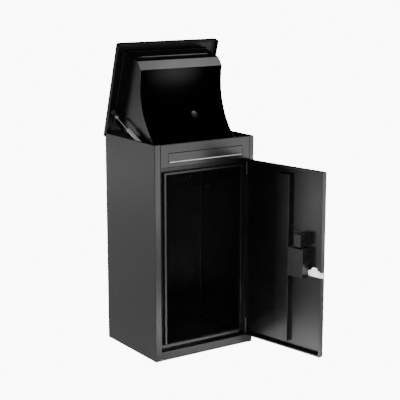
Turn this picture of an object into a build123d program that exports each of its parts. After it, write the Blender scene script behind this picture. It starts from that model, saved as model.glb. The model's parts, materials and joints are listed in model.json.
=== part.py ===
"""Free-standing parcel and letter box of folded sheet steel.

The cabinet has a letter slot above a lockable door. The lid is hinged at the back on two gas
struts and carries a curved chute that keeps hands out of the compartment while it is open.
+Z is up, the front faces -Y, and the origin is the centre of the footprint on the ground.
The model stands as it is used: lid up and door open. All lengths are millimetres.
"""

import math
import os

from build123d import *

os.makedirs("parts", exist_ok=True)

# ---------------------------------------------------------------- overall sizes
WIDTH = 440.0
DEPTH = 360.0
HEIGHT = 814.0          # ground to the rim of the cabinet, without the lid
SHEET = 1.2             # steel sheet of every folded panel
BEND = 2.4              # outer radius of a fold
SEAM = 0.6              # gap between neighbouring panels
LID_OPEN = 72.7         # degrees from closed to the strut stop
DOOR_OPEN = 101.0       # degrees from closed, as it stands

HALF_W = WIDTH / 2
FRONT = -DEPTH / 2
BACK = DEPTH / 2
WALL = HALF_W - SHEET   # inner face of the side walls

# ---------------------------------------------------------------- front of the cabinet
POST_LEFT = 25.5
POST_RIGHT = 21.0
FASCIA = 85.0
SILL = 34.0
REBATE = 23.0           # depth of the jambs
REAR_RETURN = 18.0
RIM_RETURN = 9.0        # inward fold along the top

JAMB_L = -HALF_W + POST_LEFT
JAMB_R = HALF_W - POST_RIGHT
OPENING_TOP = HEIGHT - FASCIA
OPENING_X = (JAMB_L + JAMB_R) / 2
FRAME_Y = FRONT + REBATE

# raised rim around the door opening, which stands inside the closed door pan
LIP_X = 173.5
LIP_W = 7.5
LIP_SETBACK = 9.5
LIP_CHANNEL_TOP = 21.0
LIP_BOTTOM = 58.0
LIP_NOSE = 11.0
LIP_TOP = OPENING_TOP - LIP_CHANNEL_TOP
LIP_Y = FRONT + LIP_SETBACK

# ---------------------------------------------------------------- letter slot and flap
SLOT_W = 328.5
SLOT_BOTTOM = HEIGHT - 65.5
SLOT_TOP = HEIGHT - 32.0
FLAP_SHEET = 1.0
FLAP_SIDE_GAP = 1.2
FLAP_PIN_R = 1.5
FLAP_PIN_SETBACK = 3.8
FLAP_PIN_DROP = 5.5
FLAP_CURL_R = 3.2
FLAP_LIP = 4.6
RUNNING = 0.05          # radial clearance of a turning fit

# ---------------------------------------------------------------- lid and its hinge
LID_SIDE_GAP = 2.5
LID_FRONT = FRONT - 4.0
LID_REAR = BACK + 16.0
LID_SKIRT = 21.0
LID_REAR_SKIRT = 9.0
LID_CORNER = 9.0
LID_EDGE = 3.0
HINGE_Z = HEIGHT - 1.0
KNUCKLE_R = 3.6
HINGE_Y = BACK - SHEET + KNUCKLE_R
HINGE_PIN_R = 1.8
HINGE_LENGTH = 380.0
HINGE_KNUCKLES = 9
HINGE_LEAF = 24.0
KNUCKLE_GAP = 0.5
LID_UNDER = HINGE_Z + KNUCKLE_R
LID_TOP = LID_UNDER + SHEET
LID_HALF = HALF_W + LID_SIDE_GAP + SHEET
LINER_HALF = 190.0
LINER_FRONT = FRONT + 32.0
LINER_REAR = BACK - 30.0
LINER_DEPTH = 8.0
LINER_SHEET = 1.0
LINER_UNDER = LID_UNDER - LINER_DEPTH
SEAL_W = 8.8
SEAL_T = 2.2

# ---------------------------------------------------------------- chute, closed position
CHUTE_HALF = 180.6
CHUTE_FRONT = FRONT + 35.8
CHUTE_SHOULDER = 91.4       # rim of the cabinet to the top of the bevel
BEVEL_RUN = 21.8
BEVEL_DROP = 30.8
SCOOP_R = 281.4
SCOOP_START = 84.6          # degrees, from +Y towards +Z
SCOOP_END = 14.6

# ---------------------------------------------------------------- gas struts
STRUT_X = 200.0
STRUT_LID_Y = 94.2          # upper stud in the closed lid
STRUT_LID_DROP = 9.6        # below the lid sheet
STRUT_WALL_Y = -120.0
STRUT_WALL_Z = HEIGHT - 42.0
STRUT_EYE_R = 7.0
STRUT_EYE_W = 12.0
STRUT_STUD_R = 4.0
STRUT_ROD_R = 3.6
STRUT_TUBE_R = 7.5
STRUT_COLLAR_R = 6.6
STRUT_FITTING = 38.0        # stud centre to the end of the collar
STRUT_EXPOSED = 88.8        # rod that shows with the lid open
STRUT_TUBE_HEAD = 10.0
STRUT_TUBE_FOOT = 8.0
STRUT_FOOT = 20.0           # end of the tube to the lower stud
STRUT_PISTON = 8.0
STRUT_PISTON_STAND = 25.0   # piston to the tube's head with the lid open

# ---------------------------------------------------------------- door
DOOR_GAP = 3.0
DOOR_HINGE_GAP = 2.5
DOOR_TOP_GAP = 2.0
DOOR_T = 20.0
DOOR_LIP = 6.0
DOOR_L = JAMB_L + DOOR_GAP
DOOR_R = JAMB_R - DOOR_HINGE_GAP
DOOR_BOTTOM = SILL + DOOR_GAP
DOOR_TOP = OPENING_TOP - DOOR_TOP_GAP
PIVOT_X = DOOR_R - 5.5
PIVOT_Y = FRONT + 5.0
PIVOT_PIN_R = 2.0
PIVOT_TUBE_R = 3.5
PIVOT_TUBE = 60.0
STIFFENER_X = OPENING_X - 4.2
STIFFENER_W = 58.0
STIFFENER_DEPTH = 16.8
STIFFENER_FLANGE = 10.0
STIFFENER_MARGIN = 3.0

# ---------------------------------------------------------------- lock on the door
CASE_L = DOOR_L + 71.0
CASE_W = 70.0
CASE_BOTTOM = SILL + 293.0
CASE_H = 108.0
CASE_FACE = 40.0            # outer skin of the door to the front of the case
CAP_L = CASE_L + 6.5
CAP_W = 31.0
CAP_H = 46.0
CAP_GAP = 8.0
CAP_FACE = 46.0
CASE_WALL = 1.5
LOCK_PLATE = 2.0
LOCK_PLATE_MARGIN = 4.0
BOLT_Z = CASE_BOTTOM + 18.5
BOLT_H = 22.0
BOLT_T = 5.4
BOLT_CLEAR = 0.2
BOLT_SLOT_CLEAR = 1.5
BOLT_TONGUE_H = 12.0
BOLT_TONGUE_T = 2.0
PLUG_X = CAP_L + CAP_W / 2
PLUG_Z = CASE_BOTTOM + CASE_H + CAP_GAP + CAP_H / 2
PLUG_R = 4.8
CYLINDER_R = 6.5
ROSE_R = 14.0
ROSE_T = 3.0
CRANK = 11.0                # plug to the crank pin, which swings evenly about straight down
CRANK_PIN_R = 1.5
FORK_W = 10.0
FORK_CLEAR = 0.4
BOLT_THROW = CRANK * math.sqrt(2)


LID_AXIS = Axis((0, HINGE_Y, HINGE_Z), (-1, 0, 0))
DOOR_AXIS = Axis((PIVOT_X, PIVOT_Y, 0), (0, 0, 1))


def save(piece, name):
    """Labels a finished piece and writes it as one STEP file."""
    piece.label = name
    export_step(piece, f"parts/{name}.step")


def save_on_lid(piece, name):
    """Writes a piece that was drawn on the closed lid, swung up with it."""
    save(piece.rotate(LID_AXIS, LID_OPEN), name)


def save_on_door(piece, name):
    """Writes a piece that was drawn on the closed door, swung out with it."""
    save(piece.rotate(DOOR_AXIS, DOOR_OPEN), name)


def block(x, y, z, mode=Mode.ADD):
    """A box between two limits along each axis, inside the current part."""
    size = (x[1] - x[0], y[1] - y[0], z[1] - z[0])
    with Locations(((x[0] + x[1]) / 2, (y[0] + y[1]) / 2, (z[0] + z[1]) / 2)):
        Box(*size, mode=mode)


# ================================================================ cabinet
def side_panel(side, jamb):
    """Side wall, front post and jamb folded from one sheet: side is -1 on the left."""
    corners = [
        (side * (HALF_W - REAR_RETURN), BACK),
        (side * HALF_W, BACK),
        (side * HALF_W, FRONT),
        (jamb, FRONT),
        (jamb, FRAME_Y),
    ]
    with BuildPart() as panel:
        with BuildSketch():
            with BuildLine():
                FilletPolyline(*corners, radius=BEND)
                offset(amount=SHEET, side=Side.LEFT if side < 0 else Side.RIGHT)
            make_face()
        extrude(amount=HEIGHT)
    return panel.part


BOLT_BACK = SHEET + LOCK_PLATE + BOLT_CLEAR     # outer skin of the door to the back of the bolt
BOLT_FACE = BOLT_BACK + BOLT_T
SLOT_Y = (FRONT + BOLT_BACK - BOLT_CLEAR * 4, FRONT + BOLT_FACE + BOLT_CLEAR * 4)
SLOT_Z = (BOLT_Z - BOLT_H / 2 - BOLT_SLOT_CLEAR, BOLT_Z + BOLT_H / 2 + BOLT_SLOT_CLEAR)

with BuildPart() as side_left:
    add(side_panel(-1, JAMB_L))
    block((JAMB_L - SHEET - 1, JAMB_L + 1), SLOT_Y, SLOT_Z, Mode.SUBTRACT)
save(side_left.part, "side_panel_left")
save(side_panel(1, JAMB_R), "side_panel_right")

PANEL_SIDE_GAP = 1.5
BACK_OUTER = BACK - SHEET
BACK_INNER = BACK_OUTER - SHEET
BACK_TOP = HEIGHT - 6.0
with BuildPart() as back_panel:
    reach = WALL - PANEL_SIDE_GAP
    block((-reach, reach), (BACK_INNER, BACK_OUTER), (0, BACK_TOP))
save(back_panel.part, "back_panel")

HAT_W = 52.0
HAT_DEPTH = 12.0
HAT_FLANGE = 12.0
HAT_BOTTOM = 40.0
HAT_TOP = HEIGHT - 30.0


def hat_profile(middle, seat, width, depth, flange):
    """Outline of a hat channel with its flanges on the line y = seat: the crown is on the side of depth's sign."""
    half = width / 2
    with BuildSketch() as sketch:
        with BuildLine():
            Polyline(
                (middle - half - flange, seat),
                (middle - half, seat),
                (middle - half, seat + depth),
                (middle + half, seat + depth),
                (middle + half, seat),
                (middle + half + flange, seat),
            )
            offset(amount=SHEET, side=Side.LEFT if depth > 0 else Side.RIGHT)
        make_face()
    return sketch.sketch


with BuildPart() as back_stiffener:
    with BuildSketch(Plane.XY.offset(HAT_BOTTOM)):
        add(hat_profile(0, BACK_INNER, HAT_W, -(HAT_DEPTH - SHEET), HAT_FLANGE))
    extrude(amount=HAT_TOP - HAT_BOTTOM)
save(back_stiffener.part, "back_stiffener")

BASE_SHEET = 1.5
BASE_RISE = 26.0
BASE_GAP = 0.3
SILL_FOOT = 20.0
ANCHOR_X = 300.0
ANCHOR_Y = 220.0
ANCHOR_R = 5.5
with BuildPart() as base_pan:
    reach = WALL - BASE_GAP
    front_edge = FRAME_Y + BASE_GAP
    rear_edge = BACK_INNER - BASE_GAP
    block((-reach, reach), (front_edge, rear_edge), (0, BASE_RISE))
    inner = reach - BASE_SHEET
    block((-inner, inner), (front_edge - 1, rear_edge - BASE_SHEET), (BASE_SHEET, BASE_RISE + 1), Mode.SUBTRACT)
    with GridLocations(ANCHOR_X, ANCHOR_Y, 2, 2):
        Hole(radius=ANCHOR_R)
save(base_pan.part, "base_pan")


def folded_strip(corners, x, side=Side.LEFT, radius=BEND):
    """A sheet folded along the given (y, z) corners and running between two x limits."""
    with BuildPart() as strip:
        with BuildSketch(Plane.YZ.offset(x[0])):
            with BuildLine():
                FilletPolyline(*corners, radius=radius)
                offset(amount=SHEET, side=side)
            make_face()
        extrude(amount=x[1] - x[0])
    return strip.part


INFILL_X = (JAMB_L + SEAM, JAMB_R - SEAM)
sill_corners = [(FRONT + SILL_FOOT, 0), (FRONT, 0), (FRONT, SILL), (FRAME_Y, SILL)]
save(folded_strip(sill_corners, INFILL_X, Side.RIGHT), "sill")

threshold_corners = [
    (FRAME_Y, SILL - 8),
    (FRAME_Y, LIP_BOTTOM - SHEET),
    (LIP_Y + SHEET, LIP_BOTTOM - SHEET),
    (LIP_Y + SHEET, LIP_BOTTOM - LIP_NOSE),
]
NOSE_X = (DOOR_L + DOOR_LIP + 1.5, LIP_X)
with BuildPart() as threshold:
    add(folded_strip(threshold_corners, INFILL_X, Side.RIGHT, radius=3.0))
    for cut in ((INFILL_X[0] - 1, NOSE_X[0]), (NOSE_X[1], INFILL_X[1] + 1)):
        block(cut, (FRONT, FRAME_Y), (SILL + 1, LIP_BOTTOM + 1), Mode.SUBTRACT)
save(threshold.part, "threshold")

with BuildPart() as door_frame:
    frame_bottom = LIP_BOTTOM + 0.3
    plate_x = (JAMB_L - SHEET, JAMB_R + SHEET)
    plate_y = (FRAME_Y, FRAME_Y + SHEET)
    block(plate_x, plate_y, (frame_bottom, OPENING_TOP + 10))
    block((-LIP_X, LIP_X), (LIP_Y, FRAME_Y + SHEET), (frame_bottom, LIP_TOP))
    groove = LIP_X - SHEET
    block((-groove, groove), (LIP_Y + SHEET, FRAME_Y + SHEET), (frame_bottom, LIP_TOP - SHEET), Mode.SUBTRACT)
    wall = LIP_X - LIP_W + SHEET
    block((-wall, wall), (LIP_Y, FRAME_Y + SHEET), (frame_bottom, LIP_TOP - LIP_W + SHEET))
    inner = LIP_X - LIP_W
    block((-inner, inner), (LIP_Y - 1, FRAME_Y + SHEET + 1), (frame_bottom - 1, LIP_TOP - LIP_W), Mode.SUBTRACT)
save(door_frame.part, "door_frame")

fascia_corners = [(FRONT + RIM_RETURN, HEIGHT), (FRONT, HEIGHT), (FRONT, OPENING_TOP), (FRAME_Y, OPENING_TOP)]
SLOT_X = (OPENING_X - SLOT_W / 2, OPENING_X + SLOT_W / 2)
with BuildPart() as fascia:
    add(folded_strip(fascia_corners, INFILL_X))
    block(SLOT_X, (FRONT - 1, FRONT + SHEET + 1), (SLOT_BOTTOM, SLOT_TOP), Mode.SUBTRACT)
save(fascia.part, "fascia")

with BuildPart() as top_rim:
    leg = 12.0
    reach = WALL - BASE_GAP
    front_edge = FRONT + RIM_RETURN + SEAM
    rear_edge = BACK_INNER - BASE_GAP
    block((-reach, reach), (front_edge, rear_edge), (HEIGHT - leg, HEIGHT))
    inner = reach - SHEET
    block((-inner, inner), (front_edge - 1, rear_edge - SHEET), (HEIGHT - leg - 1, HEIGHT - SHEET), Mode.SUBTRACT)
    inner = WALL - RIM_RETURN
    block((-inner, inner), (front_edge - 1, BACK_INNER - RIM_RETURN), (HEIGHT - leg - 1, HEIGHT + 1), Mode.SUBTRACT)
save(top_rim.part, "top_rim")

STRIKE_T = 1.5
STRIKE_MARGIN = 14.0
with BuildPart() as strike_plate:
    strike_x = (JAMB_L - SHEET - STRIKE_T, JAMB_L - SHEET)
    block(strike_x, (FRONT + SHEET + 1.5, FRAME_Y), (SLOT_Z[0] - STRIKE_MARGIN, SLOT_Z[1] + STRIKE_MARGIN))
    block((strike_x[0] - 1, strike_x[1] + 1), SLOT_Y, SLOT_Z, Mode.SUBTRACT)
save(strike_plate.part, "strike_plate")

# ---------------------------------------------------------------- door pivots on the cabinet
PIVOT_PLATE = 1.2
PIVOT_BRACKET_X = (PIVOT_X - 11, JAMB_R - SEAM)
PIVOT_BRACKET_Y = (FRONT + 2, FRAME_Y - 1)
PIVOT_PIN = 52.0
WASHER_R = 5.0
WASHER_T = 1.4
with BuildPart() as pivot_top:
    block(PIVOT_BRACKET_X, PIVOT_BRACKET_Y, (OPENING_TOP - PIVOT_PLATE, OPENING_TOP))
    with Locations((PIVOT_X, PIVOT_Y, OPENING_TOP - PIVOT_PIN)):
        Cylinder(PIVOT_PIN_R, PIVOT_PIN, align=(Align.CENTER, Align.CENTER, Align.MIN))
save(pivot_top.part, "door_pivot_top")

with BuildPart() as pivot_bottom:
    block(PIVOT_BRACKET_X, PIVOT_BRACKET_Y, (SILL, SILL + PIVOT_PLATE))
    with Locations((PIVOT_X, PIVOT_Y, SILL)):
        Cylinder(PIVOT_PIN_R, PIVOT_PIN, align=(Align.CENTER, Align.CENTER, Align.MIN))
save(pivot_bottom.part, "door_pivot_bottom")

with BuildPart() as pivot_washer:
    with BuildSketch(Plane.XY.offset(SILL + PIVOT_PLATE)):
        with Locations((PIVOT_X, PIVOT_Y)):
            Circle(min(WASHER_R, PIVOT_Y - FRONT))
            Circle(PIVOT_PIN_R + RUNNING, mode=Mode.SUBTRACT)
    extrude(amount=WASHER_T)
save(pivot_washer.part, "pivot_washer")

BUFFER_R = 4.0
BUFFER_T = 2.6
BUFFER_INSET = 6.0
with BuildPart() as buffers:
    with BuildSketch(Plane.XZ.offset(-FRAME_Y)):
        with Locations((JAMB_L + BUFFER_INSET, LIP_BOTTOM + 70), (JAMB_L + BUFFER_INSET, LIP_TOP - 70)):
            Circle(BUFFER_R)
    extrude(amount=BUFFER_T)
save(buffers.part, "door_buffers")

# ---------------------------------------------------------------- letter flap
FLAP_PIN_Y = FRONT + FLAP_PIN_SETBACK
FLAP_PIN_Z = SLOT_TOP - FLAP_PIN_DROP
FLAP_X = (SLOT_X[0] + FLAP_SIDE_GAP, SLOT_X[1] - FLAP_SIDE_GAP)
FLAP_TOP_GAP = 2.5
CURL_W = 30.0
CURL_X = 110.0
BRACKET_T = 1.2
BRACKET_OFF = 3.0


def on_flap_pin(x):
    """Plane across the flap pin at x, with its normal along +X."""
    return Plane(origin=(x, FLAP_PIN_Y, FLAP_PIN_Z), x_dir=(0, 1, 0), z_dir=(1, 0, 0))


flap_corners = [
    (FRONT, SLOT_TOP - FLAP_TOP_GAP),
    (FRONT, SLOT_BOTTOM + 2),
    (FRONT - FLAP_LIP, SLOT_BOTTOM + 2 - FLAP_LIP),
]
with BuildPart() as letter_flap:
    with BuildSketch(Plane.YZ.offset(FLAP_X[0])):
        with BuildLine():
            Polyline(*flap_corners)
            offset(amount=FLAP_SHEET, side=Side.LEFT)
        make_face()
    extrude(amount=FLAP_X[1] - FLAP_X[0])
    for middle in (OPENING_X - CURL_X, OPENING_X + CURL_X):
        with BuildSketch(on_flap_pin(middle - CURL_W / 2)):
            Circle(FLAP_CURL_R)
        extrude(amount=CURL_W)
        with BuildSketch(on_flap_pin(middle - CURL_W / 2 - 1)):
            Circle(FLAP_PIN_R + RUNNING)
        extrude(amount=CURL_W + 2, mode=Mode.SUBTRACT)
save(letter_flap.part, "letter_flap")

bracket_starts = (SLOT_X[0] - BRACKET_OFF - BRACKET_T, SLOT_X[1] + BRACKET_OFF)
with BuildPart() as flap_pin:
    with BuildSketch(on_flap_pin(bracket_starts[0] - 2)):
        Circle(FLAP_PIN_R)
    extrude(amount=bracket_starts[1] - bracket_starts[0] + BRACKET_T + 4)
save(flap_pin.part, "flap_pin")

with BuildPart() as flap_brackets:
    for start in bracket_starts:
        block((start, start + BRACKET_T), (FRONT + SHEET, FLAP_PIN_Y + 4), (FLAP_PIN_Z - 5, FLAP_PIN_Z + 8))
        with BuildSketch(on_flap_pin(start - 1)):
            Circle(FLAP_PIN_R + RUNNING)
        extrude(amount=BRACKET_T + 2, mode=Mode.SUBTRACT)
save(flap_brackets.part, "flap_brackets")

# ================================================================ lid hinge
def on_hinge_pin(x):
    """Plane across the lid's hinge pin at x: local x is +Y and local y is +Z."""
    return Plane(origin=(x, HINGE_Y, HINGE_Z), x_dir=(0, 1, 0), z_dir=(1, 0, 0))


def hinge_leaf(first, outline):
    """A leaf with every second knuckle from first: outline draws the leaf's section about the pin."""
    pitch = HINGE_LENGTH / HINGE_KNUCKLES
    flat, neck = outline
    with BuildPart() as leaf:
        with BuildSketch(on_hinge_pin(-HINGE_LENGTH / 2)):
            add(flat)
        extrude(amount=HINGE_LENGTH)
        for index in range(first, HINGE_KNUCKLES, 2):
            start = -HINGE_LENGTH / 2 + index * pitch + KNUCKLE_GAP / 2
            with BuildSketch(on_hinge_pin(start)):
                add(neck)
                Circle(KNUCKLE_R)
            extrude(amount=pitch - KNUCKLE_GAP)
        with BuildSketch(on_hinge_pin(-HINGE_LENGTH / 2 - 1)):
            Circle(HINGE_PIN_R + RUNNING)
        extrude(amount=HINGE_LENGTH + 2, mode=Mode.SUBTRACT)
    return leaf.part


def rectangle_between(x, y):
    """A rectangle between two limits each way, as a loose sketch."""
    with BuildSketch() as sketch:
        with Locations(((x[0] + x[1]) / 2, (y[0] + y[1]) / 2)):
            Rectangle(x[1] - x[0], y[1] - y[0])
    return sketch.sketch


NECK = KNUCKLE_R + 0.6
upright = rectangle_between((-KNUCKLE_R, -KNUCKLE_R + SHEET), (-NECK - HINGE_LEAF, -NECK))
upright_neck = rectangle_between((-KNUCKLE_R, -KNUCKLE_R + SHEET), (-NECK - 1, 0))
level = rectangle_between((-NECK - HINGE_LEAF + 6, -NECK), (KNUCKLE_R - SHEET, KNUCKLE_R))
level_neck = rectangle_between((-NECK - 1, 0), (KNUCKLE_R - SHEET, KNUCKLE_R))
save(hinge_leaf(0, (upright, upright_neck)), "hinge_leaf_fixed")
save_on_lid(hinge_leaf(1, (level, level_neck)), "hinge_leaf_moving")

with BuildPart() as hinge_pin:
    with BuildSketch(on_hinge_pin(-HINGE_LENGTH / 2 - 1)):
        Circle(HINGE_PIN_R)
    extrude(amount=HINGE_LENGTH + 2)
save(hinge_pin.part, "lid_hinge_pin")

SCREW_R = 3.0
SCREW_H = 1.4
SCREW_Z = HINGE_Z - NECK - HINGE_LEAF + 7
with BuildPart() as hinge_screws:
    with BuildSketch(Plane.XZ.offset(-BACK)):
        with Locations((0, SCREW_Z)):
            with GridLocations(HINGE_LENGTH / 5, 1, 5, 1):
                Circle(SCREW_R)
    extrude(amount=-SCREW_H)
    fillet(hinge_screws.edges().group_by(Axis.Y)[-1], SCREW_H * 0.5)
save(hinge_screws.part, "hinge_screws")

# ================================================================ lid, drawn closed
REAR_CUT = 24.0
with BuildPart() as lid_pan:
    with BuildSketch(Plane.XY.offset(LID_TOP - LID_SKIRT)):
        with Locations((0, (LID_FRONT + LID_REAR) / 2)):
            RectangleRounded(2 * LID_HALF, LID_REAR - LID_FRONT, LID_CORNER)
    extrude(amount=LID_SKIRT)
    fillet(lid_pan.faces().sort_by(Axis.Z)[-1].edges(), LID_EDGE)
    with BuildSketch(Plane.XY.offset(LID_TOP - LID_SKIRT)):
        with Locations((0, (LID_FRONT + LID_REAR) / 2)):
            RectangleRounded(2 * (LID_HALF - SHEET), LID_REAR - LID_FRONT - 2 * SHEET, LID_CORNER - SHEET)
    extrude(amount=LID_SKIRT - SHEET, mode=Mode.SUBTRACT)
    with BuildSketch(Plane.YZ.offset(-LID_HALF - 1)):
        with BuildLine():
            Polyline(
                (LID_REAR - REAR_CUT, LID_TOP - LID_SKIRT - 1),
                (LID_REAR + 1, LID_TOP - LID_SKIRT - 1),
                (LID_REAR + 1, LID_TOP - LID_REAR_SKIRT),
                (LID_REAR - REAR_CUT / 2, LID_TOP - LID_REAR_SKIRT),
                close=True,
            )
        make_face()
    extrude(amount=2 * LID_HALF + 2, mode=Mode.SUBTRACT)
save_on_lid(lid_pan.part, "lid_pan")

LINER_CORNER = 10.0
with BuildPart() as lid_liner:
    middle = (LINER_FRONT + LINER_REAR) / 2
    with BuildSketch(Plane.XY.offset(LINER_UNDER)):
        with Locations((0, middle)):
            RectangleRounded(2 * LINER_HALF, LINER_REAR - LINER_FRONT, LINER_CORNER)
    extrude(amount=LINER_DEPTH)
    fillet(lid_liner.faces().sort_by(Axis.Z)[0].edges(), 2.0)
    with BuildSketch(Plane.XY.offset(LINER_UNDER + LINER_SHEET)):
        with Locations((0, middle)):
            RectangleRounded(
                2 * (LINER_HALF - LINER_SHEET), LINER_REAR - LINER_FRONT - 2 * LINER_SHEET, LINER_CORNER - LINER_SHEET
            )
    extrude(amount=LINER_DEPTH, mode=Mode.SUBTRACT)
save_on_lid(lid_liner.part, "lid_liner")

with BuildPart() as lid_seal:
    seal_z = (LID_UNDER - SEAL_T, LID_UNDER)
    seal_front = FRONT + 1.4
    block((-WALL, WALL), (seal_front, LINER_REAR), seal_z)
    inner = WALL - SEAL_W
    block((-inner, inner), (seal_front + SEAL_W, LINER_REAR + 1), (seal_z[0] - 1, seal_z[1] + 1), Mode.SUBTRACT)
save_on_lid(lid_seal.part, "lid_seal")

# ---------------------------------------------------------------- chute under the lid
SHOULDER_Z = HEIGHT - CHUTE_SHOULDER
BEVEL_END = (CHUTE_FRONT + BEVEL_RUN, SHOULDER_Z - BEVEL_DROP)
SCOOP_ARC = (
    BEVEL_END[0] - SCOOP_R * math.cos(math.radians(SCOOP_START)),
    BEVEL_END[1] - SCOOP_R * math.sin(math.radians(SCOOP_START)),
)
SCOOP_TIP = (
    SCOOP_ARC[0] + SCOOP_R * math.cos(math.radians(SCOOP_END)),
    SCOOP_ARC[1] + SCOOP_R * math.sin(math.radians(SCOOP_END)),
)
CHUTE_FLANGE = 16.0
with BuildPart() as chute:
    half = CHUTE_HALF - SHEET
    with BuildSketch(Plane.YZ.offset(-half)):
        with BuildLine():
            Polyline(
                (CHUTE_FRONT + CHUTE_FLANGE, LINER_UNDER),
                (CHUTE_FRONT, LINER_UNDER),
                (CHUTE_FRONT, SHOULDER_Z),
                BEVEL_END,
            )
            CenterArc(SCOOP_ARC, SCOOP_R, SCOOP_START, SCOOP_END - SCOOP_START)
            offset(amount=SHEET, side=Side.LEFT)
        make_face()
    extrude(amount=2 * half)

# the sheet is made of two, which meet at the bevel's lower edge on the plane that halves the fold
fold = math.atan2(-BEVEL_DROP, BEVEL_RUN) / 2 + math.radians(SCOOP_START - 90) / 2
SPLIT = Plane(origin=(0, *BEVEL_END), z_dir=(0, math.cos(fold), math.sin(fold)))
with BuildPart() as chute_brow:
    add(chute.part)
    split(bisect_by=SPLIT, keep=Keep.BOTTOM)
save_on_lid(chute_brow.part, "chute_brow")

with BuildPart() as chute_scoop:
    add(chute.part)
    split(bisect_by=SPLIT, keep=Keep.TOP)
save_on_lid(chute_scoop.part, "chute_scoop")

CHEEK_REAR = LINER_REAR - 8.0


def chute_cheek(side):
    """Side plate of the chute, with a flange under the liner: side is -1 on the left."""
    outer = side * CHUTE_HALF
    with BuildPart() as cheek:
        with BuildSketch(Plane.YZ.offset(outer)):
            with BuildLine():
                Polyline(
                    SCOOP_TIP,
                    (CHEEK_REAR, SCOOP_TIP[1] + 60),
                    (CHEEK_REAR, LINER_UNDER),
                    (CHUTE_FRONT, LINER_UNDER),
                    (CHUTE_FRONT, SHOULDER_Z),
                    BEVEL_END,
                )
                CenterArc(SCOOP_ARC, SCOOP_R, SCOOP_START, SCOOP_END - SCOOP_START)
            make_face()
        extrude(amount=-side * SHEET)
    return cheek.part


for side, word in ((-1, "left"), (1, "right")):
    save_on_lid(chute_cheek(side), f"chute_cheek_{word}")

# ================================================================ gas struts
LID_STUD_Z = LID_UNDER - STRUT_LID_DROP
STUD_TIP = STRUT_X + STRUT_EYE_W / 2
WALL_STUD_GAP = 0.6


def swung_up(y, z):
    """Place of a point of the closed lid once the lid is open."""
    angle = math.radians(LID_OPEN)
    dy, dz = y - HINGE_Y, z - HINGE_Z
    return (HINGE_Y + dy * math.cos(angle) + dz * math.sin(angle), HINGE_Z - dy * math.sin(angle) + dz * math.cos(angle))


UPPER = swung_up(STRUT_LID_Y, LID_STUD_Z)
LOWER = (STRUT_WALL_Y, STRUT_WALL_Z)
STRUT_LENGTH = math.dist(UPPER, LOWER)
STRUT_DIR = ((LOWER[0] - UPPER[0]) / STRUT_LENGTH, (LOWER[1] - UPPER[1]) / STRUT_LENGTH)
TUBE_START = STRUT_FITTING + STRUT_EXPOSED
TUBE_END = STRUT_LENGTH - STRUT_FOOT
PISTON_END = TUBE_START + STRUT_TUBE_HEAD + STRUT_PISTON_STAND + STRUT_PISTON


def across_strut(x, along):
    """Plane across the strut at a distance from the upper stud, facing the lower one."""
    origin = (x, UPPER[0] + along * STRUT_DIR[0], UPPER[1] + along * STRUT_DIR[1])
    return Plane(origin=origin, x_dir=(1, 0, 0), z_dir=(0, STRUT_DIR[0], STRUT_DIR[1]))


def disc(plane, radius, length, mode=Mode.ADD):
    """A round bar from a plane along its normal, inside the current part."""
    with Locations(plane):
        Cylinder(radius, length, align=(Align.CENTER, Align.CENTER, Align.MIN), mode=mode)


def stud_plane(x, centre):
    """Plane across a stud at x, facing +X."""
    return Plane(origin=(x, centre[0], centre[1]), x_dir=(0, 1, 0), z_dir=(1, 0, 0))


for side, word in ((-1, "left"), (1, "right")):
    x = side * STRUT_X
    with BuildPart() as rod_end:
        disc(stud_plane(x - STRUT_EYE_W / 2, UPPER), STRUT_EYE_R, STRUT_EYE_W)
        disc(across_strut(x, 3), STRUT_EYE_R - 2, STRUT_FITTING - 6)
        disc(across_strut(x, STRUT_FITTING - 13), STRUT_COLLAR_R, 13)
        disc(stud_plane(x - STRUT_EYE_W / 2 - 1, UPPER), STRUT_STUD_R + RUNNING, STRUT_EYE_W + 2, Mode.SUBTRACT)
    save(rod_end.part, f"strut_rod_end_{word}")

    with BuildPart() as rod:
        disc(across_strut(x, STRUT_FITTING), STRUT_ROD_R, PISTON_END - STRUT_FITTING)
        disc(across_strut(x, PISTON_END - STRUT_PISTON), STRUT_TUBE_R - 1.6, STRUT_PISTON)
    save(rod.part, f"strut_rod_{word}")

    with BuildPart() as tube:
        disc(across_strut(x, TUBE_START), STRUT_TUBE_R, TUBE_END - TUBE_START)
        chamber = TUBE_END - TUBE_START - STRUT_TUBE_HEAD - STRUT_TUBE_FOOT
        disc(across_strut(x, TUBE_START + STRUT_TUBE_HEAD), STRUT_TUBE_R - 1.2, chamber, Mode.SUBTRACT)
        disc(across_strut(x, TUBE_START - 1), STRUT_ROD_R + RUNNING, STRUT_TUBE_HEAD + 2, Mode.SUBTRACT)
    save(tube.part, f"strut_tube_{word}")

    with BuildPart() as foot:
        disc(stud_plane(x - STRUT_EYE_W / 2, LOWER), STRUT_EYE_R, STRUT_EYE_W)
        disc(across_strut(x, TUBE_END), STRUT_EYE_R - 2, STRUT_FOOT - 3)
    save(foot.part, f"strut_foot_{word}")

with BuildPart() as wall_brackets:
    for side in (-1, 1):
        near, far = side * (STUD_TIP + WALL_STUD_GAP), side * (WALL - SHEET)
        plate = sorted((far, side * WALL))
        block(plate, (LOWER[0] - 16, LOWER[0] + 16), (LOWER[1] - 14, LOWER[1] + 14))
        disc(stud_plane(min(near, far), LOWER), STRUT_STUD_R, abs(far - near))
save(wall_brackets.part, "strut_wall_brackets")

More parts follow.
